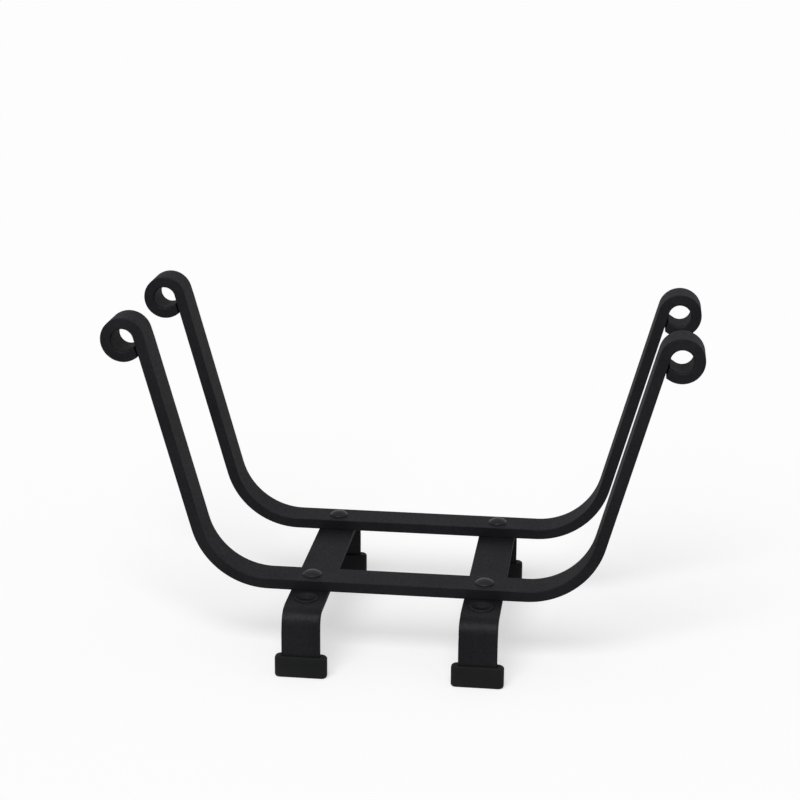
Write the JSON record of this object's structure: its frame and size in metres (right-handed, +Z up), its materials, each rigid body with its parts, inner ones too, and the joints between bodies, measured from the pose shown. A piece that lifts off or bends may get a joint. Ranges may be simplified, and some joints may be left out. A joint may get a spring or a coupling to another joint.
{
  "type": "firewood log rack",
  "caption": "Free-standing firewood log rack: bent flat-bar hoops with rolled scroll ends, bolted across foot straps whose legs stand in black boots.",
  "frame": {"origin": "on the floor, midway between the four feet", "axes": "+X to the rack's right, +Y to its back, +Z up; the hoops stand across X and the straps run along Y"},
  "size_m": [0.6004, 0.3024, 0.3508],
  "materials": {
    "black_paint": "satin black powder coat with a fine grain",
    "black_rubber": "matte moulded rubber",
    "black_steel": "satin black coated steel"
  },
  "bodies": {
    "root": {"front_hoop": "black_paint", "rear_hoop": "black_paint", "left_foot_strap": "black_paint", "right_foot_strap": "black_paint", "front_left_foot_cap": "black_rubber", "rear_left_foot_cap": "black_rubber", "front_right_foot_cap": "black_rubber", "rear_right_foot_cap": "black_rubber", "hoop_bolts": "black_steel", "hoop_washers": "black_steel", "hoop_nuts": "black_steel"}
  },
  "joints": []
}
